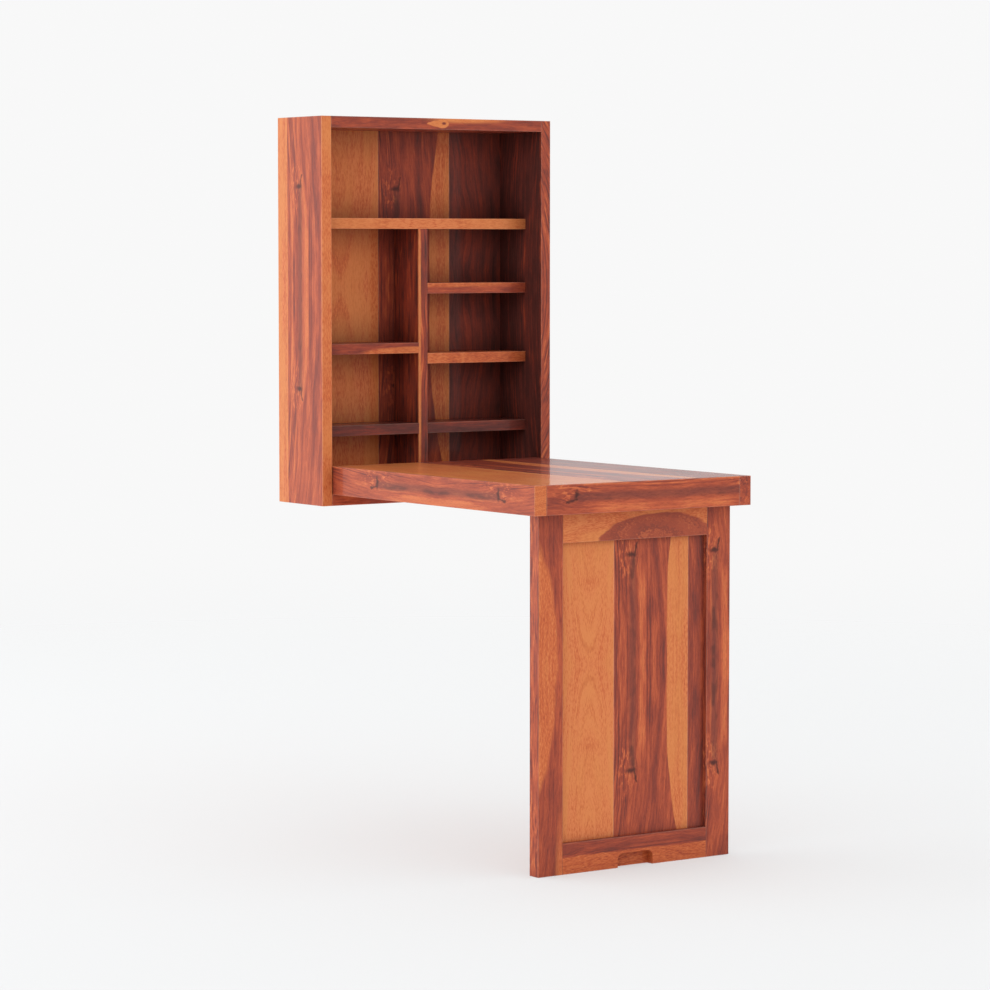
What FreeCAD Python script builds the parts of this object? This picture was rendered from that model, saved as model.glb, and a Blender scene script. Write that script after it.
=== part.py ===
import FreeCAD, Part
import os

# Floating study table: a wall cabinet with open shelves, a tray-shaped desk that turns up into
# the cabinet on two pivot pins, and a framed leg that hangs from two hinges behind the apron.
# Millimetres. X runs along the wall, Y from the desk's front to the wall, Z up from the floor.
# The origin is on the floor, under the middle of the whole table with its desk open.

# Overall sizes
desk_height = 762.0  # floor to the top of the open desk
desk_reach = 719.0  # cabinet front to the front of the open desk
cabinet_width = 579.0
cabinet_depth = 173.0
cabinet_rise = 723.0  # top of the open desk to the top of the cabinet
eased_edge = 1.0  # rounding along the edges of the boards
overrun = 2.0  # how far a cut reaches past the wood

# Cabinet boards
board_thickness = 23.5
shelf_thickness = 22.5
shelf_setback = 59.0  # cabinet front to the front edges of the shelves
housing_depth = 5.0  # how far shelves, planks and rails are let into their neighbours
housing_stop = 10.0  # how far behind a shelf's front edge its housings end, out of sight
back_thickness = 10.0
back_joint_left = -51.0  # where the planks of the back meet, from the cabinet's middle
back_joint_right = 131.5
hanging_rail_thickness = 8.0
hanging_rail_height = 60.0

# Undersides of the shelves, above the cabinet's floor
upper_shelf_rise = 550.0
left_middle_rise = 287.3
left_lower_rise = 116.5
right_upper_rise = 413.3
right_middle_rise = 264.5
right_lower_rise = 116.5

# Dowels
dowel_radius = 4.0
dowel_in_side = 15.0
dowel_in_end = 25.0
dowel_setback = 28.0  # outer dowels of a joint from the cabinet's front and back
dowels_per_joint = 3
apron_dowel_rise = 12.0  # lower apron dowel above the desk's underside
apron_dowel_spacing = 16.0

# Keyhole plates that the cabinet hangs by
plate_width = 18.0
plate_height = 50.0
plate_thickness = 2.0
plate_inset = 60.0  # plate's middle from the cabinet's inner side face
keyhole_radius = 5.0
keyhole_drop = 8.0  # round entry below the plate's middle
keyhole_rise = 8.0  # end of the slot above the plate's middle
keyhole_slot_radius = 2.5
keyhole_pocket_margin = 1.5
keyhole_pocket_depth = 5.0
plate_screw_spacing = 39.0
plate_screw_length = 7.0
plate_screw_radius = 1.5
plate_screw_head_radius = 3.0

# Desk
desk_thickness = 58.5
desk_rail_width = 28.5  # rails and apron
desk_side_gap = 1.5  # rail to cabinet side
desk_plank_thickness = 20.0
desk_lip = 4.0  # rim of rails and apron that shows round the planks
desk_joint_left = -48.0
desk_joint_right = 137.0

# Pivots of the desk
pivot_height = 12.0  # above the desk's underside, and as far behind the cabinet's front
pivot_end_gap = 0.3  # rounded end of the rail to the cabinet's floor
rail_corner_radius = 8.0
pivot_radius = 5.0
pivot_running_gap = 0.05
pivot_tip_gap = 1.0  # pin's tip to the end of its bush
pivot_head_radius = 7.5
pivot_head_length = 3.5
pivot_head_sink = 0.5  # head below the rail's inner face
pivot_head_gap = 0.3
bush_radius = 7.5
bush_length = 14.0
washer_radius = 9.0
washer_thickness = 1.2

# Leg
leg_side_gap = 1.0  # stile to desk rail
leg_thickness = 29.0
stile_width = 58.5
top_rail_height = 63.0
bottom_rail_height = 61.0
leg_panel_thickness = 12.0
leg_panel_recess = 10.0
panel_groove_depth = 8.0
leg_joint_left = -46.5
leg_joint_right = 137.0
tenon_thickness = 10.0
tenon_length = 30.0
tenon_shoulder = 12.0
finger_pull_width = 86.0
finger_pull_height = 28.5
finger_pull_depth = 17.0
finger_pull_corner = 12.0

# Leg hinges
hinge_rise = 5.5  # hinge axis above the desk's underside
hinge_inset = 0.9  # hinge axis behind the leg's outer face
hinge_setback = 16.5  # end of a hinge from the leg's stile
hinge_length = 60.0
leaf_thickness = 1.2
leaf_reach = 24.0  # hinge axis to the far edge of a leaf
knuckle_radius = 3.2
knuckle_gap = 0.3
hinge_pin_radius = 1.5
hinge_pin_head_radius = 2.4
hinge_pin_head_length = 1.0
hinge_running_gap = 0.05
hinge_relief_gap = 0.5
leaf_screw_spacing = 20.0
leaf_screw_setback = 14.0  # screws from the hinge axis
leaf_screw_length = 18.0
leaf_screw_radius = 1.6
leaf_screw_head_radius = 3.2

# Slots and points of screws and pins, as shares of their own sizes
slot_width_share = 0.3
slot_depth_share = 0.4
screw_point_share = 2.0

# Planes that follow from the sizes above
front_y = (desk_reach - cabinet_depth) / 2
wall_y = front_y + cabinet_depth
desk_front_y = front_y - desk_reach
desk_bottom_z = desk_height - desk_thickness
cabinet_bottom_z = desk_bottom_z - board_thickness
cabinet_top_z = desk_height + cabinet_rise
ceiling_z = cabinet_top_z - board_thickness
half_width = cabinet_width / 2
half_inside = half_width - board_thickness
half_divider = shelf_thickness / 2
shelf_front_y = front_y + shelf_setback
hanging_rail_y = wall_y - hanging_rail_thickness
back_face_y = hanging_rail_y - back_thickness
half_desk = half_inside - desk_side_gap
half_hollow = half_desk - desk_rail_width
apron_back_y = desk_front_y + desk_rail_width
plank_bottom_z = desk_height - desk_plank_thickness
pivot_y = front_y + pivot_height
pivot_z = desk_bottom_z + pivot_height
half_leg = half_hollow - leg_side_gap
half_opening = half_leg - stile_width
leg_back_y = apron_back_y + leg_thickness
hinge_y = apron_back_y + hinge_inset
hinge_z = desk_bottom_z + hinge_rise


def block(x0, x1, y0, y1, z0, z1):
    """A box between two planes along each axis."""
    return Part.makeBox(x1 - x0, y1 - y0, z1 - z0, FreeCAD.Vector(x0, y0, z0))


def rod(radius, start, end):
    """A round bar from one point to another."""
    line = FreeCAD.Vector(*end) - FreeCAD.Vector(*start)
    return Part.makeCylinder(radius, line.Length, FreeCAD.Vector(*start), line)


def across(radius, x0, x1, y, z):
    """A round bar along X."""
    return rod(radius, (x0, y, z), (x1, y, z))


def eased(board, directions="XYZ"):
    """The board with its edges along these axes rounded."""
    sides = [FreeCAD.Vector(d == "X", d == "Y", d == "Z") for d in directions]
    edges = [e for e in board.Edges if any(abs(e.tangentAt(e.FirstParameter).dot(s)) == 1 for s in sides)]
    return board.makeFillet(eased_edge, edges)


def mirrored(piece):
    """The same piece on the other side of the table."""
    return piece.mirror(FreeCAD.Vector(0, 0, 0), FreeCAD.Vector(1, 0, 0))


def with_mirrors(pieces):
    """The pieces and their mirror images."""
    return pieces + [mirrored(piece) for piece in pieces]


def save(name, pieces):
    """Writes one piece, or one group of like pieces, under its name."""
    solids = [solid for piece in pieces for solid in piece.Solids]
    shape = solids[0] if len(solids) == 1 else Part.makeCompound(solids)
    shape.exportStep("parts/" + name + ".step")


def screw_body(radius, head_radius, length, place, direction):
    """What a countersunk wood screw fills when it is driven in along a direction."""
    head_length = head_radius - radius
    point = radius * screw_point_share
    head = Part.makeCone(head_radius, radius, head_length)
    shank = rod(radius, (0, 0, head_length), (0, 0, length - point))
    tip = Part.makeCone(radius, 0, point, FreeCAD.Vector(0, 0, length - point))
    body = head.fuse([shank, tip]).removeSplitter()
    turn = FreeCAD.Rotation(FreeCAD.Vector(0, 0, 1), FreeCAD.Vector(*direction))
    body.Placement = FreeCAD.Placement(FreeCAD.Vector(*place), turn)
    return body


def screw(radius, head_radius, length, place, direction):
    """The screw itself, with a slot across its head."""
    half = head_radius * slot_width_share / 2
    depth = (head_radius - radius) * slot_depth_share
    slot = block(-head_radius, head_radius, -half, half, 0, depth)
    turn = FreeCAD.Rotation(FreeCAD.Vector(0, 0, 1), FreeCAD.Vector(*direction))
    slot.Placement = FreeCAD.Placement(FreeCAD.Vector(*place), turn)
    return screw_body(radius, head_radius, length, place, direction).cut(slot)


# Back of the cabinet: upright planks, and a rail behind them at the top and bottom
def back_plank(x0, x1):
    """An upright plank, let into the boards above and below it."""
    low, high = desk_bottom_z - housing_depth, ceiling_z + housing_depth
    return block(x0, x1, back_face_y, hanging_rail_y, low, high)


back_edge = half_inside + housing_depth
back_planks = {
    "left": back_plank(-back_edge, back_joint_left),
    "middle": back_plank(back_joint_left, back_joint_right),
    "right": back_plank(back_joint_right, back_edge),
}


# Keyhole plates: let in flush with the hanging rails' backs
plate_x = half_inside - plate_inset
plate_heights = {
    "lower": desk_bottom_z + hanging_rail_height / 2,
    "upper": ceiling_z - hanging_rail_height / 2,
}


def upright_slot(radius, low, high, depth):
    """An upright round-ended shape at the right-hand plate's place, in from the wall plane."""
    front, back = wall_y - depth, wall_y
    ends = [rod(radius, (plate_x, front, z), (plate_x, back, z)) for z in (low, high)]
    middle = block(plate_x - radius, plate_x + radius, front, back, low, high)
    return middle.fuse(ends).removeSplitter()


def plate_blank(z):
    """A plate's outline with round ends."""
    half = (plate_height - plate_width) / 2
    return upright_slot(plate_width / 2, z - half, z + half, plate_thickness)


def plate_screw_settings(z):
    """Sizes, place and direction of the two screws of a plate."""
    places = [(plate_x, wall_y, z + end * plate_screw_spacing / 2) for end in (-1, 1)]
    sizes = (plate_screw_radius, plate_screw_head_radius, plate_screw_length)
    return [sizes + (place, (0, -1, 0)) for place in places]


def keyhole_plate(z):
    """A plate with a round entry for a wall screw's head and a narrow slot above it."""
    low, high = z - keyhole_drop, z + keyhole_rise
    face = wall_y - plate_thickness
    entry = rod(keyhole_radius, (plate_x, face, low), (plate_x, wall_y, low))
    slot = upright_slot(keyhole_slot_radius, low, high, plate_thickness)
    screws = [screw_body(*settings) for settings in plate_screw_settings(z)]
    return plate_blank(z).cut([entry.fuse(slot).removeSplitter()] + screws)


def hanging_rail(z):
    """A rail with beds for two plates, and room behind them for the wall screws' heads."""
    half_height = hanging_rail_height / 2
    rail = block(-back_edge, back_edge, hanging_rail_y, wall_y, z - half_height, z + half_height)
    radius = keyhole_radius + keyhole_pocket_margin
    depth = plate_thickness + keyhole_pocket_depth
    pocket = upright_slot(radius, z - keyhole_drop, z + keyhole_rise, depth)
    screws = [screw_body(*settings) for settings in plate_screw_settings(z)]
    return rail.cut(with_mirrors([plate_blank(z).fuse(pocket)] + screws))


hanging_rails = {name: hanging_rail(z) for name, z in plate_heights.items()}
keyhole_plates = with_mirrors([keyhole_plate(z) for z in plate_heights.values()])
plate_screws = with_mirrors([screw(*s) for z in plate_heights.values() for s in plate_screw_settings(z)])


# Shelves and divider: let into their neighbours at both ends, in housings that stop short of the front
def front_notch(x0, x1, z0, z1):
    """What comes off the front of a tongue where its housing stops."""
    return block(x0, x1, shelf_front_y - overrun, shelf_front_y + housing_stop, z0, z1)


def shelf(x0, x1, rise):
    """A shelf between two upright faces."""
    z0 = desk_bottom_z + rise
    z1 = z0 + shelf_thickness
    end0, end1 = x0 - housing_depth, x1 + housing_depth
    board = eased(block(end0, end1, shelf_front_y, back_face_y, z0, z1), "X")
    low, high = z0 - overrun, z1 + overrun
    return board.cut([front_notch(end0 - overrun, x0, low, high), front_notch(x1, end1 + overrun, low, high)])


def divider_board():
    """The upright board under the upper shelf."""
    z0, z1 = desk_bottom_z, desk_bottom_z + upper_shelf_rise
    end0, end1 = z0 - housing_depth, z1 + housing_depth
    board = eased(block(-half_divider, half_divider, shelf_front_y, back_face_y, end0, end1), "Z")
    left, right = -half_divider - overrun, half_divider + overrun
    notches = [front_notch(left, right, end0 - overrun, z0), front_notch(left, right, z1, end1 + overrun)]
    return board.cut(notches + list(left_shelves.values()) + list(right_shelves.values()))


upper_shelf_blank = shelf(-half_inside, half_inside, upper_shelf_rise)
left_shelves = {
    "left_middle_shelf": shelf(-half_inside, -half_divider, left_middle_rise),
    "left_lower_shelf": shelf(-half_inside, -half_divider, left_lower_rise),
}
right_shelves = {
    "right_upper_shelf": shelf(half_divider, half_inside, right_upper_rise),
    "right_middle_shelf": shelf(half_divider, half_inside, right_middle_rise),
    "right_lower_shelf": shelf(half_divider, half_inside, right_lower_rise),
}
divider = divider_board()
upper_shelf = upper_shelf_blank.cut(divider)


# Bushes for the desk's pivots, and the dowels that hold the carcass
def pivot_bush():
    """The right-hand brass bush, flush with the cabinet's inner side face."""
    end = half_inside + bush_length
    bore = across(pivot_radius + pivot_running_gap, half_inside, end, pivot_y, pivot_z)
    return across(bush_radius, half_inside, end, pivot_y, pivot_z).cut(bore)


def carcass_dowels():
    """The right-hand dowels between the side and the boards above and below."""
    low_z, high_z = cabinet_bottom_z + board_thickness / 2, cabinet_top_z - board_thickness / 2
    step = (cabinet_depth - 2 * dowel_setback) / (dowels_per_joint - 1)
    places = [front_y + dowel_setback + step * i for i in range(dowels_per_joint)]
    x0, x1 = half_inside - dowel_in_end, half_inside + dowel_in_side
    return [across(dowel_radius, x0, x1, y, z) for z in (low_z, high_z) for y in places]


dowels = with_mirrors(carcass_dowels())


# Sides, top and bottom of the cabinet
def side_board(side):
    """A full-height side, housed for what meets its inner face. Side is -1 or 1."""
    board = block(half_inside, half_width, front_y, wall_y, cabinet_bottom_z, cabinet_top_z)
    board = eased(board if side > 0 else mirrored(board))
    shelves = left_shelves if side < 0 else right_shelves
    bush_hole = across(bush_radius, half_inside, half_inside + bush_length, pivot_y, pivot_z)
    let_in = [upper_shelf_blank] + list(shelves.values()) + list(hanging_rails.values())
    return board.cut(let_in + list(back_planks.values()) + dowels + with_mirrors([bush_hole]))


def level_board(z0):
    """The top or bottom board, between the sides."""
    board = block(-half_inside, half_inside, front_y, wall_y, z0, z0 + board_thickness)
    return eased(board, "X").cut(list(back_planks.values()) + dowels + [divider])


# Hinges between the apron and the leg
hinge_end = half_opening - hinge_setback
hinge_start = hinge_end - hinge_length
hinge_middle = (hinge_start + hinge_end) / 2
knuckle_length = (hinge_length - 2 * knuckle_gap) / 3
middle_start = hinge_start + knuckle_length + knuckle_gap
middle_end = middle_start + knuckle_length
screw_offsets = [leaf_screw_spacing * step for step in (-1, 0, 1)]


def knuckle(radius, x0, x1):
    """A round length on the right-hand hinge's axis."""
    return across(radius, x0, x1, hinge_y, hinge_z)


def leaf_screw_settings(y, z, direction):
    """Sizes, place and direction of the screws of one leaf."""
    sizes = (leaf_screw_radius, leaf_screw_head_radius, leaf_screw_length)
    return [sizes + ((hinge_middle + x, y, z), direction) for x in screw_offsets]


apron_screw_settings = leaf_screw_settings(apron_back_y, hinge_z + leaf_screw_setback, (0, -1, 0))
leg_screw_settings = leaf_screw_settings(hinge_y + leaf_screw_setback, hinge_z, (0, 0, -1))


def apron_plate():
    """The flat of the leaf that is let into the apron's inner face."""
    y0 = apron_back_y - leaf_thickness
    return block(hinge_start, hinge_end, y0, apron_back_y, hinge_z, hinge_z + leaf_reach)


def leg_plate():
    """The flat of the leaf that is let into the leg's top end."""
    z0 = hinge_z - leaf_thickness
    return block(hinge_start, hinge_end, hinge_y, hinge_y + leaf_reach, z0, hinge_z)


def apron_leaf():
    """Leaf with the two outer knuckles, which grip the pin."""
    outer = [knuckle(knuckle_radius, hinge_start, middle_start - knuckle_gap)]
    outer.append(knuckle(knuckle_radius, middle_end + knuckle_gap, hinge_end))
    swing = knuckle(knuckle_radius + knuckle_gap, middle_start - knuckle_gap, middle_end + knuckle_gap)
    holes = [screw_body(*settings) for settings in apron_screw_settings]
    bore = knuckle(hinge_pin_radius, hinge_start, hinge_end)
    return apron_plate().cut(swing).fuse(outer).removeSplitter().cut(holes + [bore])


def leg_leaf():
    """Leaf with the middle knuckle, which turns on the pin."""
    swing = [knuckle(knuckle_radius + knuckle_gap, hinge_start, middle_start)]
    swing.append(knuckle(knuckle_radius + knuckle_gap, middle_end, hinge_end))
    holes = [screw_body(*settings) for settings in leg_screw_settings]
    middle = knuckle(knuckle_radius, middle_start, middle_end)
    bore = knuckle(hinge_pin_radius + hinge_running_gap, hinge_start, hinge_end)
    return leg_plate().cut(swing).fuse(middle).removeSplitter().cut(holes + [bore])


def hinge_pin():
    """A pin with a small head at each end."""
    heads = [knuckle(hinge_pin_head_radius, hinge_start - hinge_pin_head_length, hinge_start)]
    heads.append(knuckle(hinge_pin_head_radius, hinge_end, hinge_end + hinge_pin_head_length))
    return knuckle(hinge_pin_radius, hinge_start, hinge_end).fuse(heads).removeSplitter()


def hinge_relief():
    """Room in the wood round the knuckles and the pin's heads."""
    past = hinge_pin_head_length + hinge_relief_gap
    return knuckle(knuckle_radius + hinge_relief_gap, hinge_start - past, hinge_end + past)


# Desk: two rails and an apron round a bed of planks
plank_edge = half_desk - desk_lip
plank_front_y = desk_front_y + desk_lip
plank_bed = block(-plank_edge, plank_edge, plank_front_y, pivot_y, plank_bottom_z, desk_height)
pivot_seat = half_hollow + pivot_head_sink + pivot_head_length


def desk_plank(x0, x1):
    """One plank of the desk's top."""
    return block(x0, x1, plank_front_y, pivot_y, plank_bottom_z, desk_height)


def apron_dowels():
    """The right-hand dowels between the rail and the apron, below the planks."""
    y = (desk_front_y + apron_back_y) / 2
    heights = [desk_bottom_z + apron_dowel_rise + apron_dowel_spacing * i for i in (0, 1)]
    x0, x1 = half_hollow - dowel_in_end, half_hollow + dowel_in_side
    return [across(dowel_radius, x0, x1, y, z) for z in heights]


def pivot_pin():
    """The right-hand pin: its slotted head inside the rail, its shank in the cabinet's bush."""
    tip = half_inside + bush_length - pivot_tip_gap
    shank = across(pivot_radius, pivot_seat, tip, pivot_y, pivot_z)
    head = across(pivot_head_radius, pivot_seat - pivot_head_length, pivot_seat, pivot_y, pivot_z)
    half = pivot_head_radius * slot_width_share / 2
    x0 = pivot_seat - pivot_head_length
    depth = pivot_head_length * slot_depth_share
    y0, y1 = pivot_y - pivot_head_radius, pivot_y + pivot_head_radius
    slot = block(x0, x0 + depth, y0, y1, pivot_z - half, pivot_z + half)
    return shank.fuse(head).removeSplitter().cut(slot)


def pivot_washer():
    """The right-hand washer, on the rail's outer face."""
    end = half_desk + washer_thickness
    bore = across(pivot_radius, half_desk, end, pivot_y, pivot_z)
    return across(washer_radius, half_desk, end, pivot_y, pivot_z).cut(bore)


def desk_rail():
    """The right-hand rail: bedded for the planks, its inner end rounded about the pivot."""
    end_radius = pivot_height - pivot_end_gap
    end_y = pivot_y + end_radius
    x0, x1 = half_hollow - overrun, half_desk + overrun
    rail = eased(block(half_hollow, half_desk, desk_front_y, end_y, desk_bottom_z, desk_height))
    heel = block(x0, x1, pivot_y, end_y + overrun, desk_bottom_z - overrun, pivot_z)
    heel = heel.cut(across(end_radius, x0, x1, pivot_y, pivot_z))
    corner_y, corner_z = end_y - rail_corner_radius, desk_height - rail_corner_radius
    corner = block(x0, x1, corner_y, end_y + overrun, corner_z, desk_height + overrun)
    corner = corner.cut(across(rail_corner_radius, x0, x1, corner_y, corner_z))
    hole = across(pivot_radius, half_hollow, x1, pivot_y, pivot_z)
    head_hole = across(pivot_head_radius + pivot_head_gap, x0, pivot_seat, pivot_y, pivot_z)
    return rail.cut([heel, corner, plank_bed, hole, head_hole] + apron_dowels())


def desk_apron():
    """The front board between the rails, cut inside for the leg's hinges."""
    board = block(-half_hollow, half_hollow, desk_front_y, apron_back_y, desk_bottom_z, desk_height)
    holes = [screw_body(*settings) for settings in apron_screw_settings]
    cuts = with_mirrors([apron_plate(), hinge_relief()] + holes + apron_dowels())
    return eased(board, "X").cut(cuts + [plank_bed])


# Leg: a grooved frame round three upright planks
panel_front_y = apron_back_y + leg_panel_recess
panel_edge = half_opening + panel_groove_depth
top_rail_z = hinge_z - top_rail_height


def leg_plank(x0, x1):
    """An upright plank of the leg's panel, held in the grooves of the frame."""
    y1 = panel_front_y + leg_panel_thickness
    z0, z1 = bottom_rail_height - panel_groove_depth, top_rail_z + panel_groove_depth
    return block(x0, x1, panel_front_y, y1, z0, z1)


leg_planks = {
    "left": leg_plank(-panel_edge, leg_joint_left),
    "middle": leg_plank(leg_joint_left, leg_joint_right),
    "right": leg_plank(leg_joint_right, panel_edge),
}


def leg_rail(z0, z1):
    """A rail of the frame, with a tenon at each end."""
    rail = eased(block(-half_opening, half_opening, apron_back_y, leg_back_y, z0, z1), "X")
    middle = (apron_back_y + leg_back_y) / 2
    y0, y1 = middle - tenon_thickness / 2, middle + tenon_thickness / 2
    half = half_opening + tenon_length
    tenons = block(-half, half, y0, y1, z0 + tenon_shoulder, z1 - tenon_shoulder)
    return rail.fuse(tenons).removeSplitter().cut(list(leg_planks.values()))


def finger_pull():
    """The hollow in the bottom rail's face, open at the floor, with round upper corners."""
    half, y0, y1 = finger_pull_width / 2, apron_back_y - overrun, apron_back_y + finger_pull_depth
    inner, shoulder_z = half - finger_pull_corner, finger_pull_height - finger_pull_corner
    low = block(-half, half, y0, y1, -overrun, shoulder_z)
    high = block(-inner, inner, y0, y1, -overrun, finger_pull_height)
    ends = [(side * inner, shoulder_z) for side in (-1, 1)]
    corners = [rod(finger_pull_corner, (x, y0, z), (x, y1, z)) for x, z in ends]
    return low.fuse([high] + corners).removeSplitter()


def leg_top_rail():
    """The upper rail, cut for the hinges."""
    holes = [screw_body(*settings) for settings in leg_screw_settings]
    cuts = with_mirrors([leg_plate(), hinge_relief()] + holes)
    return leg_rail(top_rail_z, hinge_z).cut(cuts)


def leg_bottom_rail():
    """The lower rail, which stands on the floor."""
    return leg_rail(0, bottom_rail_height).cut(finger_pull())


def leg_stile(side):
    """A full-height upright of the frame, mortised for the rails. Side is -1 or 1."""
    stile = block(half_opening, half_leg, apron_back_y, leg_back_y, 0, hinge_z)
    stile = eased(stile if side > 0 else mirrored(stile))
    rails = [leg_rail(top_rail_z, hinge_z), leg_rail(0, bottom_rail_height)]
    return stile.cut(rails + list(leg_planks.values()))


os.makedirs("parts", exist_ok=True)

save("left_side_board", [side_board(-1)])
save("right_side_board", [side_board(1)])
save("cabinet_top_board", [level_board(ceiling_z)])
save("cabinet_bottom_board", [level_board(cabinet_bottom_z)])
save("upper_shelf", [upper_shelf])
save("divider_board", [divider])
for name, piece in {**left_shelves, **right_shelves}.items():
    save(name, [piece])
for name, piece in back_planks.items():
    save("back_plank_" + name, [piece])
for name, piece in hanging_rails.items():
    save("hanging_rail_" + name, [piece])
save("keyhole_plates", keyhole_plates)
save("keyhole_plate_screws", plate_screws)
save("carcass_dowels", dowels)
save("pivot_bush_left", [mirrored(pivot_bush())])
save("pivot_bush_right", [pivot_bush()])

save("desk_left_rail", [mirrored(desk_rail())])
save("desk_right_rail", [desk_rail()])
save("desk_apron", [desk_apron()])
save("desk_plank_left", [desk_plank(-plank_edge, desk_joint_left)])
save("desk_plank_middle", [desk_plank(desk_joint_left, desk_joint_right)])
save("desk_plank_right", [desk_plank(desk_joint_right, plank_edge)])
save("apron_dowels", with_mirrors(apron_dowels()))
save("pivot_pin_left", [mirrored(pivot_pin())])
save("pivot_pin_right", [pivot_pin()])
save("pivot_washer_left", [mirrored(pivot_washer())])
save("pivot_washer_right", [pivot_washer()])
save("apron_hinge_leaf_left", [mirrored(apron_leaf())])
save("apron_hinge_leaf_right", [apron_leaf()])
save("leg_hinge_pin_left", [mirrored(hinge_pin())])
save("leg_hinge_pin_right", [hinge_pin()])
save("apron_leaf_screws", with_mirrors([screw(*settings) for settings in apron_screw_settings]))

save("leg_left_stile", [leg_stile(-1)])
save("leg_right_stile", [leg_stile(1)])
save("leg_top_rail", [leg_top_rail()])
save("leg_bottom_rail", [leg_bottom_rail()])
for name, piece in leg_planks.items():
    save("leg_plank_" + name, [piece])
save("leg_hinge_leaf_left", [mirrored(leg_leaf())])
save("leg_hinge_leaf_right", [leg_leaf()])
save("leg_leaf_screws", with_mirrors([screw(*settings) for settings in leg_screw_settings]))
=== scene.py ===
import math
import bpy
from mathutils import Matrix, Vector


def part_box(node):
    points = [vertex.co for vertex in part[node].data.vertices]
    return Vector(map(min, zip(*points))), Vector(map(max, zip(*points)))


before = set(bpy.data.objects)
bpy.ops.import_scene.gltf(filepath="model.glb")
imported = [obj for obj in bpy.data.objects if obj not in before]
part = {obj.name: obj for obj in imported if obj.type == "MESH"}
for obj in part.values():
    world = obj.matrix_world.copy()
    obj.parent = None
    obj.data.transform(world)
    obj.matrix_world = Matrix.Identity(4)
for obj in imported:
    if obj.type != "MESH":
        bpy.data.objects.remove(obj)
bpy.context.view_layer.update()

# Room
# A pale floor that fades into an even white surround, lit by a soft white sky and two wide lamps
# behind the left side. The camera stands out to the front and left, above the height of the desk.
camera_place = (-4.15898, -5.90166, 1.22216)
camera_dip_radians = 0.0711
camera_turn_radians = -0.6087

camera = bpy.data.objects.new("camera", bpy.data.cameras.new("camera"))
camera.data.lens = 128.24
camera.data.sensor_width = 36.0
camera.data.sensor_fit = "HORIZONTAL"
camera.data.clip_end = 100.0
camera.location = camera_place
camera.rotation_euler = (math.pi / 2 - camera_dip_radians, 0.0, camera_turn_radians)
bpy.context.scene.collection.objects.link(camera)
bpy.context.scene.camera = camera
bpy.context.scene.view_settings.view_transform = "Standard"


class Wire:
    """One output of a shader node. A sum written with wires makes the nodes that work it out."""

    def __init__(self, node, output=0):
        self.tree = node.id_data
        self.socket = node.outputs[output]

    def __add__(self, other):
        return reckon("ADD", self, other)

    def __sub__(self, other):
        return reckon("SUBTRACT", self, other)

    def __rsub__(self, other):
        return reckon("SUBTRACT", other, self)

    def __mul__(self, other):
        return reckon("MULTIPLY", self, other)

    def __truediv__(self, other):
        return reckon("DIVIDE", self, other)

    def __pow__(self, power):
        return reckon("POWER", self, power)

    def __abs__(self):
        return reckon("ABSOLUTE", self)


def feed(socket, value):
    """Joins a wire to a socket, or sets the socket; one number fills a whole vector."""
    if isinstance(value, Wire):
        value.tree.links.new(value.socket, socket)
    elif socket.type == "VECTOR" and isinstance(value, float):
        socket.default_value = (value, value, value)
    else:
        socket.default_value = value


def add_node(tree, kind, inputs=None, **settings):
    """Adds one shader node; inputs go by the name or the number of their socket."""
    node = tree.nodes.new("ShaderNode" + kind)
    for name, value in settings.items():
        setattr(node, name, value)
    for name, value in (inputs or {}).items():
        feed(node.inputs[name], value)
    return node


def tree_of(values):
    """The shader that the wires among some values belong to."""
    return next(value.tree for value in values if isinstance(value, Wire))


def reckon(operation, *values):
    """The number that comes of one sum."""
    return Wire(add_node(tree_of(values), "Math", dict(enumerate(values)), operation=operation))


def length_of(vector):
    """The length of a vector."""
    return Wire(add_node(vector.tree, "VectorMath", {0: vector}, operation="LENGTH"), "Value")


def fade(value, start, end):
    """Rises smoothly from 0 where the value is at its start to 1 where it is at its end."""
    inputs = {"Value": value, "From Min": start, "From Max": end}
    return Wire(add_node(value.tree, "MapRange", inputs, interpolation_type="SMOOTHSTEP"), "Result")


def blank_material(name):
    """A new material with nothing in its shader yet."""
    material = bpy.data.materials.new(name)
    material.use_nodes = True
    material.node_tree.nodes.clear()
    return material


# The sky gives plain white light, and shows a shade darker to the camera and in reflections.
white = (1.0, 1.0, 1.0, 1.0)
surround_white = (0.94, 0.94, 0.94, 1.0)

sky = bpy.data.worlds.new("white_sky")
bpy.context.scene.world = sky
sky.use_nodes = True
sky.node_tree.nodes.clear()
rays = add_node(sky.node_tree, "LightPath")
seen = reckon("MAXIMUM", Wire(rays, "Is Camera Ray"), Wire(rays, "Is Transmission Ray"))
seen = reckon("MAXIMUM", seen, Wire(rays, "Is Glossy Ray"))
lighting = Wire(add_node(sky.node_tree, "Background", {"Color": white, "Strength": 1.0}))
shown = Wire(add_node(sky.node_tree, "Background", {"Color": surround_white, "Strength": 1.0}))
mixed = Wire(add_node(sky.node_tree, "MixShader", {0: seen, 1: lighting, 2: shown}))
add_node(sky.node_tree, "OutputWorld", {"Surface": mixed})

# The floor is partly clear round the table, where it still takes the shadow, and wholly clear far
# away and from below.
floor_half_side = 24.0
floor_corner_signs = ((-1, -1), (1, -1), (1, 1), (-1, 1))
floor_starts_to_clear = 1.2
floor_ends = 7.0
floor_clear_share = 0.4
floor_color = (0.865, 0.88, 0.89, 1.0)

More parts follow.
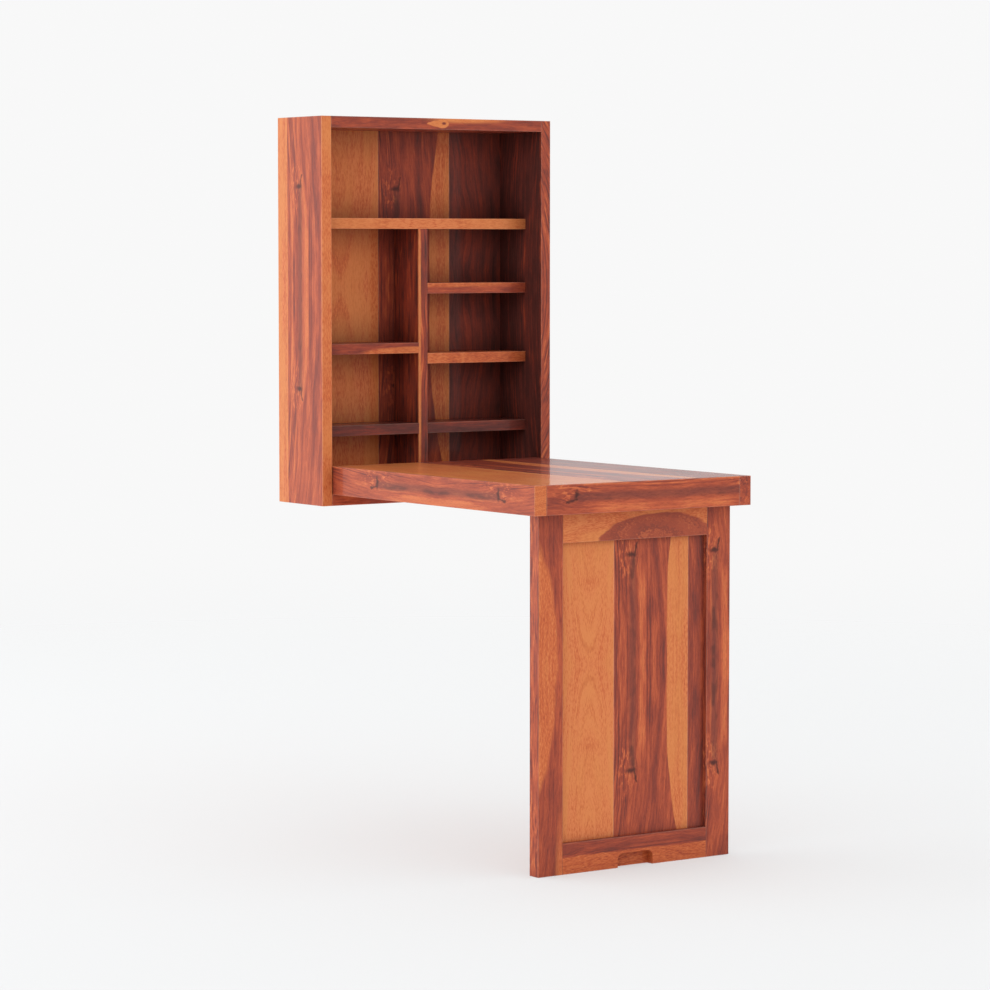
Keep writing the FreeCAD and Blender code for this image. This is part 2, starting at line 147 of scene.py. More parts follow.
floor_mesh = bpy.data.meshes.new("floor")
floor_corners = [(x * floor_half_side, y * floor_half_side, 0.0) for x, y in floor_corner_signs]
floor_mesh.from_pydata(floor_corners, [], [(0, 1, 2, 3)])
floor = bpy.data.objects.new("floor", floor_mesh)
bpy.context.scene.collection.objects.link(floor)
floor_paint = blank_material("pale_floor")
tree = floor_paint.node_tree
away = length_of(Wire(add_node(tree, "TexCoord"), "Object"))
clear = fade(away, floor_starts_to_clear, floor_ends) * (1.0 - floor_clear_share) + floor_clear_share
clear = reckon("MAXIMUM", clear, Wire(add_node(tree, "NewGeometry"), "Backfacing"))
matt_inputs = {"Base Color": floor_color, "Roughness": 1.0, "Specular IOR Level": 0.0}
matt = Wire(add_node(tree, "BsdfPrincipled", matt_inputs))
gone = Wire(add_node(tree, "BsdfTransparent"))
mixed = Wire(add_node(tree, "MixShader", {0: clear, 1: matt, 2: gone}))
add_node(tree, "OutputMaterial", {"Surface": mixed})
floor_mesh.materials.append(floor_paint)


def soft_lamp(name, place, aim, size, power):
    """A wide square lamp that faces a point."""
    lamp = bpy.data.objects.new(name, bpy.data.lights.new(name, "AREA"))
    lamp.data.size = size
    lamp.data.energy = power
    lamp.location = place
    lamp.rotation_euler = (Vector(aim) - Vector(place)).to_track_quat("-Z", "Y").to_euler()
    bpy.context.scene.collection.objects.link(lamp)


soft_lamp("lamp_left", place=(-4.2, 1.7, 1.5), aim=(0.0, 0.3, 0.9), size=2.6, power=21.0)
soft_lamp("lamp_behind", place=(-2.5, 3.4, 1.4), aim=(-0.29, 0.1, 1.1), size=3.2, power=26.0)


# Left side of the cabinet
# One full-height board of red hardwood with a pale strip glued on at the wall and pale sapwood at
# the front. Housed inside for the shelves and rails, eased by hand, and varnished to a gloss.
def new_group(name, takes, gives):
    """Starts a shader group with named sockets; returns it, the wires it is given and its ends."""
    group = bpy.data.node_groups.new(name, "ShaderNodeTree")
    for title, kind in takes.items():
        group.interface.new_socket(title, in_out="INPUT", socket_type="NodeSocket" + kind)
    for title, kind in gives.items():
        group.interface.new_socket(title, in_out="OUTPUT", socket_type="NodeSocket" + kind)
    start = group.nodes.new("NodeGroupInput")
    given = {title: Wire(start, title) for title in takes}
    return group, given, group.nodes.new("NodeGroupOutput").inputs


def use_group(tree, group, **inputs):
    """Places a group in a material with its own values, and returns its wires by their names."""
    node = tree.nodes.new("ShaderNodeGroup")
    node.node_tree = group
    for name, value in inputs.items():
        feed(node.inputs[name.capitalize()], value)
    return {socket.name: Wire(node, socket.name) for socket in node.outputs}


def reckon_vector(operation, *values):
    """The vector that comes of one sum of vectors."""
    node = add_node(tree_of(values), "VectorMath", dict(enumerate(values)), operation=operation)
    return Wire(node, "Vector")


def vector_of(x, y, z=0.0):
    """One vector made of three parts."""
    return Wire(add_node(x.tree, "CombineXYZ", {0: x, 1: y, 2: z}))


def parts_of(vector):
    """The three parts of a vector by their names, X, Y and Z."""
    node = add_node(vector.tree, "SeparateXYZ", {0: vector})
    return {axis: Wire(node, axis) for axis in "XYZ"}


def streaks(place, stretch, seed, detail=2.0):
    """Noise from 0 to 1; stretch is how fast it changes along each axis, slowest along the grain."""
    inputs = {
        "Vector": reckon_vector("MULTIPLY_ADD", place, stretch, seed),
        "Scale": 1.0,
        "Detail": detail,
        "Roughness": 0.55,
    }
    return Wire(add_node(place.tree, "TexNoise", inputs), "Fac")


def centered(noise, swing):
    """Noise that swings evenly to both sides of zero, over so much in all."""
    return reckon("MULTIPLY_ADD", noise, swing, -swing / 2)


def band(across, middle, narrow, wide):
    """1 near a line along the grain, fading to 0 from the narrow to the wide distance off it."""
    return fade(abs(across - middle), wide, narrow)


def mix_colors(share, first, second, kind="MIX"):
    """Goes from the first colour to the second."""
    inputs = {0: share, 6: first, 7: second}
    tree = tree_of((share, first, second))
    return Wire(add_node(tree, "Mix", inputs, data_type="RGBA", blend_type=kind), 2)


def stain(red, green, blue):
    """A colour given as it looks on a screen, from 0 to 255."""
    levels = [level / 255 for level in (red, green, blue)]
    return [((l + 0.055) / 1.055) ** 2.4 if l > 0.04 else l / 12.92 for l in levels] + [1.0]


def color_steps(value, steps):
    """A colour ramp from pairs of a place, from 0 to 1, and a colour."""
    node = add_node(value.tree, "ValToRGB", {"Fac": value})
    ramp = node.color_ramp
    while len(ramp.elements) < len(steps):
        ramp.elements.new(0.5)
    for element, (place, color) in zip(ramp.elements, steps):
        element.position = place
    for element, (place, color) in zip(ramp.elements, steps):
        element.color = color
    return Wire(node, "Color")


# Folds a board's length about its middle, as in boards that are opened like a book.
folded, given, result = new_group(
    "folded_length", takes={"Place": "Vector", "Middle": "Float"}, gives={"Place": "Vector"}
)
axes = parts_of(given["Place"])
feed(result["Place"], vector_of(axes["X"], axes["Y"], abs(axes["Z"] - given["Middle"])))

# Dark red heartwood. Mark brings out a dark vein with a knot on it, and the figure beside them.
heartwood, given, result = new_group(
    "heartwood",
    takes={
        "Place": "Vector", "Vein": "Float", "Knot": "Float", "Tone": "Float", "Seed": "Float",
        "Mark": "Float", "Sway": "Float",
    },
    gives={"Color": "Color", "Height": "Float"},
)
place = given["Place"]
seed = given["Seed"]
mark = given["Mark"]
axes = parts_of(place)
side = axes["X"] - given["Vein"]
from_knot = axes["Z"] - given["Knot"]

# The grain wanders, parts round the knot, and curves to one side towards the board's ends.
knot_reach = 0.016
knot_length_share = 0.6
end_curve = 0.18
vein_sway_share = 0.6
sway = centered(streaks(place, (9, 9, 5), seed, detail=1.0), swing=0.018) * given["Sway"]
ripple = centered(streaks(place, (55, 55, 20), seed), swing=0.005)
near = length_of(vector_of(side, from_knot * knot_length_share)) / knot_reach
push = reckon("EXPONENT", near ** 2.0 * -1.0)
bent = side * (1.0 - push) + (sway + ripple) + axes["Z"] ** 2.0 * end_curve
swayed = side + sway * vein_sway_share
grain = vector_of(bent, axes["Y"], axes["Z"])

# Stripes of three widths, and hairs that are three times as strong on one side of the vein.
hair_strength = 0.1
hair_extra_strength = 0.2
broad = centered(streaks(grain, (42, 42, 9), seed), swing=0.7)
stripe = centered(streaks(grain, (120, 120, 12), seed), swing=0.36)
thread = streaks(grain, (440, 440, 50), seed)
tone = given["Tone"] + broad + stripe + centered(thread, swing=0.36)
hair = streaks(grain, (230, 230, 6), seed + 8.0)
hair_contrast = fade(side, start=-0.005, end=-0.018) * hair_extra_strength + hair_strength
tone = tone + (fade(hair, 0.42, 0.32) - fade(hair, 0.52, 0.62)) * hair_contrast

# On its other side, a bright streak and two dark seams as far as the knot, and a long dull band.
streak_place = 0.026
streak_strength = 0.25
seam_places = (0.039, 0.046)
seam_strength = 0.22
dull_place = 0.072
dull_strength = 0.14
as_far_as_knot = fade(axes["Z"], start=0.21, end=0.11) * mark
bright = band(swayed, streak_place, narrow=0.004, wide=0.012) * as_far_as_knot
first_seam = band(swayed, seam_places[0], narrow=0.0005, wide=0.0035)
second_seam = band(swayed, seam_places[1], narrow=0.0005, wide=0.003)
seams = reckon("MAXIMUM", first_seam, second_seam) * as_far_as_knot
dull = band(bent, dull_place, narrow=0.003, wide=0.014) * mark
tone = tone + bright * streak_strength - seams * seam_strength - dull * dull_strength

# Light flecks crowd round the knot.
fleck_offset = 0.012
fleck_length_share = 0.45
fleck_strength = 0.32
around = length_of(vector_of(side + fleck_offset, from_knot * fleck_length_share))
around = fade(around, start=0.034, end=0.012) * mark
fleck = fade(streaks(place, (200, 200, 75), seed), 0.50, 0.66)
tone = tone + around * fleck * fleck_strength
heartwood_reds = [
    (0.0, stain(88, 52, 48)),
    (0.2, stain(114, 60, 53)),
    (0.4, stain(145, 67, 53)),
    (0.55, stain(168, 78, 56)),
    (0.72, stain(194, 94, 62)),
    (0.92, stain(218, 119, 73)),
]
wood = color_steps(tone, heartwood_reds)

# The vein, with darker spots along it, ends at the knot.
vein_brown = stain(112, 62, 56)
vein_strength = 0.55
vein_offset = 0.002
spot_black = stain(66, 44, 42)
spot_strength = 0.45
vein = band(swayed, vein_offset, narrow=0.003, wide=0.012) * fade(axes["Z"], start=0.235, end=0.20) * mark
spots = fade(streaks(place, (60, 60, 22), seed, detail=1.0), 0.52, 0.66)
wood = mix_colors(vein * vein_strength, wood, vein_brown)
wood = mix_colors(vein * spots * spot_strength, wood, spot_black)

# The knot is a short crooked bar across the grain, and a thin hook that runs on along it.
knot_brown = stain(72, 40, 38)
knot_strength = 0.85
bar_offset = 0.002
bar_width_share = 0.38
hook_middle = 0.011
hook_half_length = 0.012
hook_offset = 0.006
hook_lean = 0.2
twist = centered(streaks(place, (120, 120, 70), seed), swing=0.010)
crooked = swayed + twist
along = from_knot - twist
bar = length_of(vector_of((crooked + bar_offset) * bar_width_share, along))
hook_across = crooked - (along * hook_lean + hook_offset)
hook_past_end = reckon("MAXIMUM", abs(along - hook_middle) - hook_half_length, 0.0)
hook = length_of(vector_of(hook_across, hook_past_end))
crack = reckon("MAXIMUM", fade(bar, start=0.0072, end=0.0014), fade(hook, start=0.0042, end=0.0004))
wood = mix_colors(crack * mark * knot_strength, wood, knot_brown)

# Open pores, darker and deeper than the threads between them.
pore_brown = stain(60, 26, 22)
pore_strength = 0.35
thread_height = 0.4
pores = fade(streaks(place, (2600, 2600, 110), seed, detail=0.0), 0.60, 0.74)
feed(result["Color"], mix_colors(pores * pore_strength, wood, pore_brown))
feed(result["Height"], thread * thread_height - pores)

# Pale sapwood: soft arches along the middle of the board, with short dark flecks.
sapwood, given, result = new_group(
    "sapwood",
    takes={"Place": "Vector", "Heart": "Float", "Tone": "Float", "Seed": "Float"},
    gives={"Color": "Color", "Height": "Float"},
)
place = given["Place"]
seed = given["Seed"]
axes = parts_of(place)

# A board that is sawn a little out of line with the log cuts its rings in arches.
log_lean = -0.11
log_depth = 0.045
sapwood_lightness = 0.13
sway = centered(streaks(place, (16, 16, 5), seed, detail=1.0), swing=0.018)
side = axes["X"] - given["Heart"] + sway
ring = length_of(vector_of(side, axes["Z"] * log_lean + log_depth))
grain = vector_of(ring, 0.0, axes["Z"])
arch = centered(streaks(grain, (90, 0, 2.5), seed), swing=0.7)
thread = centered(streaks(grain, (420, 0, 34), seed), swing=0.7)
fleck = streaks(place, (520, 520, 120), seed)
tone = given["Tone"] + sapwood_lightness + arch + thread - centered(fleck, swing=1.4)

# Fine dark ring lines drift, and come and go.
ring_gap = 0.008
ring_drift_radians = 11.0
ring_line_strength = 0.17
drift = streaks(place, (30, 30, 8), seed + 8.0) * ring_drift_radians
line = fade(reckon("SINE", ring * (math.tau / ring_gap) + drift), 0.55, 1.0)
line = line * fade(streaks(place, (22, 22, 7), seed, detail=1.0), 0.38, 0.6)
tone = tone - line * ring_line_strength
sapwood_tans = [
    (0.0, stain(160, 72, 48)),
    (0.3, stain(188, 90, 55)),
    (0.6, stain(207, 109, 64)),
    (0.9, stain(222, 132, 80)),
]
wood = color_steps(tone, sapwood_tans)

# Golden streaks, in the lighter boards only.
golden_tan = stain(222, 142, 80)
golden_strength = 0.5
golden = fade(streaks(grain, (26, 0, 4), seed + 3.0), 0.42, 0.62) * fade(given["Tone"], 0.3, 0.6)
feed(result["Color"], mix_colors(golden * golden_strength, wood, golden_tan))
feed(result["Height"], 0.5 - fleck)

# A rounded patch of other wood with a wavy edge; a long one is a strip or a spear. Share is 0 in
# its middle and 1 on its outline.
patch, given, result = new_group(
    "wood_patch",
    takes={"Place": "Vector", "Center": "Vector", "Half": "Vector", "Edge": "Float", "Seed": "Float"},
    gives={"Mask": "Float", "Share": "Float"},
)
apart = reckon_vector("SUBTRACT", given["Place"], given["Center"])
wave = centered(streaks(given["Place"], (40, 40, 12), given["Seed"], detail=3.0), swing=0.3)
share = length_of(reckon_vector("DIVIDE", apart, given["Half"])) + wave
feed(result["Mask"], 1.0 - fade(share, 1.0 - given["Edge"], given["Edge"] + 1.0))
feed(result["Share"], share)

# Gloss varnish: a little thinner on the eased edges, which are paler, partly worn and partly a painted
# highlight; darker in inner corners, which is painted shade; and with a faint haze.
varnish, given, result = new_group(
    "varnish",
    takes={
        "Color": "Color", "Place": "Vector", "Low": "Vector", "High": "Vector", "Grain": "Float",
        "Open": "Float", "Corners": "Float", "Build": "Float",
    },
    gives={"Color": "Color", "Roughness": "Float", "Coat": "Float", "Height": "Float"},
)
place = given["Place"]
color = given["Color"]

# The distance to the board's nearest edge is the second smallest of those to its faces.
above = reckon_vector("SUBTRACT", place, given["Low"])
below = reckon_vector("SUBTRACT", given["High"], place)
inset = parts_of(reckon_vector("MINIMUM", above, below))
larger = reckon("MAXIMUM", inset["X"], inset["Y"])
smaller = reckon("MINIMUM", inset["X"], inset["Y"])
from_edge = reckon("MAXIMUM", smaller, reckon("MINIMUM", larger, inset["Z"]))

# The eased edges are painted paler: partly varnish worn through, partly a painted highlight along the edges.
wear_and_highlight_pink = stain(255, 214, 190)
wear_and_highlight_share = 0.16
edge_wear_and_highlight_strength = 0.55
nicks = centered(streaks(place, (70, 70, 70), 3.0), swing=0.0024)
worn_and_highlit_edges = (1.0 - fade(from_edge - nicks, start=0.0004, end=0.0022)) * edge_wear_and_highlight_strength
worn_and_highlit_color = mix_colors(wear_and_highlight_share, color, mix_colors(1.0, color, wear_and_highlight_pink, kind="SCREEN"))
finished = mix_colors(worn_and_highlit_edges, color, worn_and_highlit_color)

# Painted shade: where ambient occlusion finds other parts close by, inner corners and recesses are multiplied
# darker.
painted_shade_brown = stain(120, 95, 88)
painted_corner_shade = (1.0 - given["Open"]) * given["Corners"]
feed(result["Color"], mix_colors(painted_corner_shade, finished, painted_shade_brown, kind="MULTIPLY"))

# Haze and wear make the varnish rougher and its gloss coat thinner.
clean_roughness = 0.36
haze_roughness = 0.14
worn_roughness = 0.15
clean_coat = 0.43
haze_coat_loss = 0.08
worn_coat_loss = 0.3
haze_height = 0.5
haze = streaks(place, (7, 7, 7), 5.0, detail=3.0)
feed(result["Roughness"], haze * haze_roughness + worn_and_highlit_edges * worn_roughness + clean_roughness)
coat = clean_coat - (haze * haze_coat_loss + worn_and_highlit_edges * worn_coat_loss)
feed(result["Coat"], coat * given["Build"])
feed(result["Height"], haze * haze_height + given["Grain"])

off_the_board = 9.0
plain_red = stain(158, 78, 58)


def inlay_red(color, flat, book, seed, center, half, edge, tone, slant=0.0, plain=0.0, arches=0.0):
    """Lays a patch of other heartwood into a board's colour. Its grain follows the board's, slants
    through it, or arches with the outline of the patch; plain is how evenly red it is."""
    shape = use_group(color.tree, patch, place=flat, center=center, half=half, edge=edge, seed=seed)
    if arches:
        curl = centered(streaks(flat, (170, 170, 110), seed), swing=0.022)
        followed = vector_of(shape["Share"] * arches + curl, 0.0, parts_of(flat)["Z"])
    else:
        axes = parts_of(book)
        followed = vector_of(axes["X"], axes["Z"] ** 2.0 * slant + axes["Y"], axes["Z"])
    other = use_group(
        color.tree, heartwood, place=followed, vein=off_the_board, knot=off_the_board, tone=tone,
        seed=seed + 2.0, sway=1.0,
    )
    return mix_colors(shape["Mask"], color, mix_colors(plain, other["Color"], plain_red))


def end_in_surface(tree, inputs):
    """Ends a material in one surface with these inputs."""
    surface = Wire(add_node(tree, "BsdfPrincipled", inputs))
    add_node(tree, "OutputMaterial", {"Surface": surface})


def put_on(material, pieces):
    """Gives the pieces this material."""
    for piece in pieces:
        part[piece].material_slots[0].material = material


glue_line_blur = 0.0003
sawn_line_blur = 0.0004
grown_line_blur = 0.0012
straight_half_length = 0.1
grown_line_bend = 0.43
corner_reach = 0.07


def varnished_board(
    name, lie, seed, vein, middle=0.0, knot=0.216, mark=0.0, tone=0.5, sway=1.0, pale=False, pale_tone=0.58,
    pale_heart=None, pale_below=None, pale_above=None, pale_skin=None, pale_end=None, pale_patches=(),
    red_patches=(), build=1.0, corners=0.35,
):
    """Gives a board its wood and its varnish.

    The lie names the axes across, through and along the grain, and places are in metres along them.
    The seed makes each board's figure its own.
    Heartwood: the figure is mirrored about the middle of the length. The vein has a place across the
    board, and the knot a distance from the middle; a mark of 1 brings both out. Tone is how light the
    wood is, and sway how far its stripes wander.
    Sapwood: a pale board is all sapwood. Another is pale below one place across the board and above
    one that bends away towards its ends, in a skin past a third, on a sawn end, and in patches. The
    pale heart is the line that the arches stand about.
    A patch has a center, a half size and an edge, which is the share of its size that it fades over.
    Varnish: build is how thick it is, and corners how strongly painted shade darkens inner corners.
    """
    material = blank_material(name + "_wood")
    tree = material.node_tree
    place = Wire(add_node(tree, "TexCoord"), "Object")
    axes = parts_of(place)
    turned = [axes[axis[-1]] * (-1.0 if axis[0] == "-" else 1.0) for axis in lie]
    flat = vector_of(*turned)
    book = use_group(tree, folded, place=flat, middle=middle)["Place"]
    across = parts_of(book)["X"]
    from_middle = parts_of(book)["Z"]

    heart = vein if pale_heart is None else pale_heart
    light = use_group(tree, sapwood, place=book, heart=heart, tone=pale_tone, seed=seed + 4.0)
    dark = use_group(
        tree, heartwood, place=book, vein=vein, knot=knot, tone=tone, seed=seed, mark=mark, sway=sway
    )
    wood = light if pale else dark

    pale_shares = []
    if pale_above is not None:
        wave = centered(streaks(book, (25, 25, 9), seed), swing=0.008)
        past_straight = reckon("MAXIMUM", from_middle - straight_half_length, 0.0)
        grown_line = past_straight ** 2.0 * grown_line_bend + pale_above
        pale_shares.append(fade(across + wave - grown_line, -grown_line_blur, grown_line_blur))
    if pale_below is not None:
        pale_shares.append(fade(across, pale_below + glue_line_blur, pale_below - glue_line_blur))
    if pale_skin is not None:
        pale_shares.append(fade(across, pale_skin - sawn_line_blur, pale_skin + sawn_line_blur))
    if pale_end is not None:
        pale_shares.append(fade(turned[2], pale_end + sawn_line_blur, pale_end - sawn_line_blur))
    for pale_patch in pale_patches:
        pale_shares.append(use_group(tree, patch, place=flat, seed=seed, **pale_patch)["Mask"])
    color = wood["Color"]
    for share in pale_shares:
        color = mix_colors(share, color, light["Color"])
    for red_patch in red_patches:
        color = inlay_red(color, flat, book, seed, **red_patch)

    low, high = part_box(name)
    # Ambient occlusion marks where painted shade darkens inner corners.
    open_air = Wire(add_node(tree, "AmbientOcclusion", {"Distance": corner_reach}, samples=8), "AO")
    finish = use_group(
        tree, varnish, color=color, place=place, low=low, high=high, grain=wood["Height"],
        open=open_air, corners=corners, build=build,
    )
    bump_inputs = {"Strength": 0.12, "Distance": 0.0004, "Height": finish["Height"]}
    surface_inputs = {
        "Base Color": finish["Color"],
        "Roughness": finish["Roughness"],
        "Normal": Wire(add_node(tree, "Bump", bump_inputs)),
        "Coat Weight": finish["Coat"],
        "Coat Roughness": 0.08,
        "Coat IOR": 1.36,
        "Specular IOR Level": 0.06,
    }
    end_in_surface(tree, surface_inputs)
    put_on(material, [name])


varnished_board(
    "left_side_board", ("-Y", "X", "Z"), seed=11.0, vein=-0.362, middle=1.131, knot=0.211, mark=1.0,
    tone=0.67, pale_heart=-0.6, pale_tone=0.64, pale_below=-0.408, pale_above=-0.276, pale_skin=-0.2745,
)

# Right side of the cabinet
# The fellow of the left side, one board of plain red heartwood housed inside in the same way. Its
# front edge is cut through wavy grain.
# The inner face is laid in as much darker heartwood, which is painted shade inside the cabinet.
painted_shade_inner_face = dict(center=(0.450, 0.266, 1.1), half=(0.178, 0.004, 3.0), edge=0.02, tone=0.14)
wavy_front_edge = dict(
    center=(0.270, 0.278, 1.1), half=(0.0045, 1.0, 3.0), edge=0.02, tone=0.6, slant=0.8, plain=0.12
)
varnished_board(
    "right_side_board", ("Y", "X", "Z"), seed=23.0, vein=0.30, middle=1.131, tone=0.54, corners=0.9,
    red_patches=[painted_shade_inner_face, wavy_front_edge],
)

# Top and bottom of the cabinet
# Level hardwood boards fixed between the sides with glued dowels. The top's front edge is cut
# through a pale knot.
pale_knot = [
    dict(center=(0.27, 1.474, 0.010), half=(0.02, 0.0095, 0.016), edge=0.1),
    dict(center=(0.27, 1.474, -0.004), half=(0.02, 0.0065, 0.018), edge=0.1),
    dict(center=(0.27, 1.474, -0.014), half=(0.02, 0.0032, 0.015), edge=0.1),
]
knot_tail = dict(center=(0.27, 1.483, 0.070), half=(0.02, 0.0065, 0.08), edge=0.6)
knot_heart = dict(center=(0.273, 1.4745, 0.014), half=(0.02, 0.0028, 0.005), edge=0.5, tone=0.3)
varnished_board(
    "cabinet_top_board", ("Y", "Z", "X"), seed=31.0, vein=0.2, middle=0.1,
    pale_patches=[*pale_knot, knot_tail], red_patches=[knot_heart],
)
varnished_board("cabinet_bottom_board", ("Y", "Z", "X"), seed=37.0, vein=0.2, middle=0.1, tone=0.67)

# Back of the cabinet
# Three upright planks, edge-glued side by side and held in grooves: one pale, one striped with a
# knot near either end, and one dark.
varnished_board(
    "back_plank_left", ("X", "Y", "Z"), seed=41.0, vein=-0.15, middle=1.132, pale=True, pale_tone=0.63,
    build=0.6, corners=0.8,
)
varnished_board(
    "back_plank_middle", ("X", "Y", "Z"), seed=43.0, vein=-0.006, middle=1.129, knot=0.21, mark=1.0,
    pale_heart=-0.3, pale_tone=0.54, pale_above=0.081, build=0.6, corners=0.9,
)
varnished_board(
    "back_plank_right", ("X", "Y", "Z"), seed=47.0, vein=0.10, middle=1.132, tone=0.26, sway=3.0,
    build=0.6, corners=0.9,
)

# Shelves and divider
# Short hardwood boards let into the sides and the divider. Their front edges are pale or dark as
# they were cut.
varnished_board(
    "upper_shelf", ("Y", "Z", "X"), seed=51.0, vein=0.39, pale=True, pale_tone=0.64, corners=0.9
)
divider_pale_strip = dict(center=(-0.0113, 0.3315, 1.0), half=(0.0062, 0.0035, 0.6), edge=0.1)
varnished_board(
    "divider_board", ("X", "Y", "Z"), seed=53.0, vein=0.1, middle=1.0, tone=0.42, pale_heart=-0.2,
    pale_patches=[divider_pale_strip], corners=0.9,
)
left_shelf_pale_lens = dict(center=(0.332, 0.9925, -0.02), half=(0.02, 0.0125, 0.13), edge=0.15)
varnished_board(
    "left_middle_shelf", ("Y", "Z", "X"), seed=57.0, vein=0.2, tone=0.4, pale_tone=0.5,
    pale_patches=[left_shelf_pale_lens], corners=0.9,
)
varnished_board("left_lower_shelf", ("Y", "Z", "X"), seed=59.0, vein=0.2, tone=0.22, corners=0.9)
right_shelf_pale_lens = dict(center=(0.332, 1.139, 0.06), half=(0.02, 0.009, 0.16), edge=0.3)
varnished_board(
    "right_upper_shelf", ("Y", "Z", "X"), seed=61.0, vein=0.2, tone=0.58, pale_tone=0.36,
    pale_patches=[right_shelf_pale_lens], corners=0.9,
)
varnished_board(
    "right_middle_shelf", ("Y", "Z", "X"), seed=63.0, vein=0.39, pale=True, pale_tone=0.35, corners=0.9
)
varnished_board("right_lower_shelf", ("Y", "Z", "X"), seed=67.0, vein=0.2, tone=0.25, corners=0.9)

# Hanging rails
# Two hardwood rails behind the back, let into the sides, that carry the plates by which the
# cabinet hangs.
varnished_board("hanging_rail_lower", ("Z", "Y", "X"), seed=69.0, vein=0.73)
varnished_board("hanging_rail_upper", ("Z", "Y", "X"), seed=71.0, vein=1.43)

# Rails of the desk
# Two long hardwood bearers that carry the top and turn on pins in the cabinet's sides. Their sawn
# ends show at the front.
varnished_board(
    "desk_left_rail", ("-Z", "X", "Y"), seed=73.0, vein=-0.736, middle=-0.110, knot=0.215, mark=1.0,
    tone=0.65, pale_heart=-0.3, pale_tone=0.42, pale_end=-0.4452,
)
varnished_board(
    "desk_right_rail", ("-Z", "X", "Y"), seed=79.0, vein=-0.736, middle=-0.110, knot=0.215, mark=1.0,
    tone=0.58,
)

# Apron
# The front board, doweled between the rails, with a knot near its left end. The leg's hinges are
# screwed to its back.
varnished_board("desk_apron", ("-Z", "Y", "X"), seed=83.0, vein=-0.738, middle=0.050, mark=1.0, tone=0.58)

# Planks of the desk's top
# Three hardwood planks as in the back of the cabinet, one pale, one striped and one dark,
# edge-glued and bedded in the rails and the apron.
varnished_board(
    "desk_plank_left", ("X", "Z", "Y"), seed=89.0, vein=-0.15, middle=-0.08, pale=True, pale_tone=0.66
)
varnished_board(
    "desk_plank_middle", ("X", "Z", "Y"), seed=91.0, vein=-0.002, middle=-0.08, mark=1.0,
    pale_heart=-0.3, pale_above=0.086,
)
varnished_board("desk_plank_right", ("X", "Z", "Y"), seed=93.0, vein=0.10, middle=-0.08, tone=0.38)

# Frame of the leg
# Two hardwood stiles with tenoned rails between them. The left stile was cut with a pale spear in
# it and the top rail with a red half ellipse, and the bottom rail has a hollow for the fingers.
pale_spear = dict(center=(-0.247, -0.4185, 0.405), half=(0.0575, 0.005, 0.245), edge=0.06)
pale_toe = dict(center=(-0.181, -0.4185, -0.03), half=(0.010, 0.005, 0.11), edge=0.8)
red_outer_edge = dict(center=(-0.2355, -0.40, 0.35), half=(0.0015, 0.9, 0.9), edge=0.02, tone=0.66)
varnished_board(
    "leg_left_stile", ("X", "Y", "Z"), seed=97.0, vein=-0.26, middle=0.406, tone=0.58,
    pale_heart=-0.4, pale_tone=0.48, pale_patches=[pale_spear, pale_toe], red_patches=[red_outer_edge],
)
varnished_board(
    "leg_right_stile", ("X", "Y", "Z"), seed=101.0, vein=0.195, middle=0.402, knot=0.213, mark=1.0, tone=0.53
)
half_ellipse = dict(
    center=(0.645, -0.41, 0.052), half=(0.052, 0.2, 0.138), edge=0.03, tone=0.60, plain=0.6, arches=0.026
)
varnished_board(
    "leg_top_rail", ("Z", "Y", "X"), seed=103.0, vein=0.69, middle=0.05, pale=True, red_patches=[half_ellipse]
)
pale_lower_half = dict(center=(0.0, -0.41, 0.05), half=(0.034, 0.2, 0.9), edge=0.04)
varnished_board(
    "leg_bottom_rail", ("Z", "Y", "X"), seed=107.0, vein=0.05, middle=0.05, tone=0.45, pale_tone=0.31,
    pale_patches=[pale_lower_half],
)

# Panel of the leg
# Three upright planks as in the back of the cabinet, edge-glued and held loose in the grooves of
# the frame.
varnished_board(
    "leg_plank_left", ("X", "Y", "Z"), seed=109.0, vein=-0.105, middle=0.406, pale=True, pale_tone=0.68,
    corners=0.6,
)
varnished_board(
    "leg_plank_middle", ("X", "Y", "Z"), seed=113.0, vein=-0.003, middle=0.402, knot=0.213, mark=1.0,
    tone=0.575, pale_heart=-0.3, pale_tone=0.64, pale_above=0.0845, corners=0.6,
)
varnished_board(
    "leg_plank_right", ("X", "Y", "Z"), seed=127.0, vein=0.10, middle=0.406, tone=0.46, corners=0.6
)

# Steel and brass fittings
# Screws, pins, washers and keyhole plates of zinc-plated steel, pressed steel hinges and turned
# brass bushes. They are bought in, and screwed or pressed into the boards.
tarnish_share = 0.62
cloud_roughness = 0.25


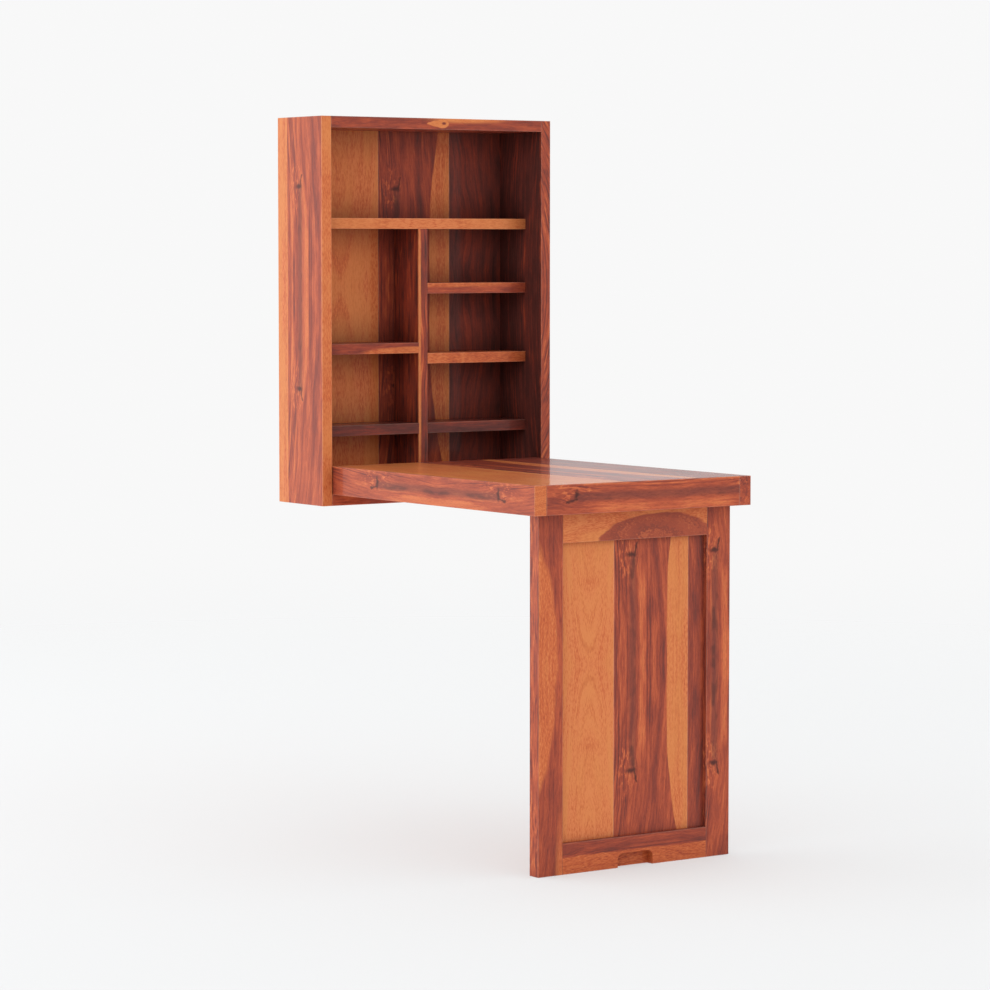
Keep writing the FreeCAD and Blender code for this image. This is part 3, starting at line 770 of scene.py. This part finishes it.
def metal(name, color, rough, seed, pieces):
    """Gives metal pieces a brushed and slightly tarnished surface."""
    material = blank_material(name)
    tree = material.node_tree
    place = Wire(add_node(tree, "TexCoord"), "Object")
    cloud = streaks(place, (160, 160, 160), seed, detail=3.0)
    brushed = streaks(place, (300, 3000, 3000), seed, detail=1.0)
    tarnished = [level * tarnish_share for level in color[:3]] + [1.0]
    bump_inputs = {"Strength": 0.1, "Distance": 0.0001, "Height": brushed}
    surface_inputs = {
        "Base Color": mix_colors(fade(cloud, 0.35, 0.75), color, tarnished),
        "Metallic": 1.0,
        "Roughness": cloud * cloud_roughness + rough,
        "Normal": Wire(add_node(tree, "Bump", bump_inputs)),
    }
    end_in_surface(tree, surface_inputs)
    put_on(material, pieces)


metal(
    "zinc_plate", color=stain(196, 200, 204), rough=0.26, seed=1.0,
    pieces=[
        "keyhole_plates", "keyhole_plate_screws", "pivot_pin_left", "pivot_pin_right", "pivot_washer_left",
        "pivot_washer_right", "leg_hinge_pin_left", "leg_hinge_pin_right", "apron_leaf_screws",
        "leg_leaf_screws",
    ],
)
metal(
    "pressed_hinge_steel", color=stain(176, 178, 182), rough=0.34, seed=2.0,
    pieces=[
        "apron_hinge_leaf_left", "apron_hinge_leaf_right", "leg_hinge_leaf_left", "leg_hinge_leaf_right",
    ],
)
metal(
    "bush_brass_metal", color=stain(214, 176, 104), rough=0.3, seed=3.0,
    pieces=["pivot_bush_left", "pivot_bush_right"],
)

# Dowels
# Plain turned beech, glued into both boards of a joint. They are never seen once the table is
# together.
beech_roughness = 0.5
fleck_roughness = 0.2
beech = blank_material("beech_dowels")
tree = beech.node_tree
place = Wire(add_node(tree, "TexCoord"), "Object")
flecks = streaks(place, (60, 900, 900), 2.0)
shade = color_steps(flecks, [(0.3, stain(190, 150, 110)), (0.7, stain(218, 182, 142))])
bump = Wire(add_node(tree, "Bump", {"Strength": 0.2, "Distance": 0.0002, "Height": flecks}))
rough = flecks * fleck_roughness + beech_roughness
end_in_surface(tree, {"Base Color": shade, "Roughness": rough, "Normal": bump})
put_on(beech, ["carcass_dowels", "apron_dowels"])
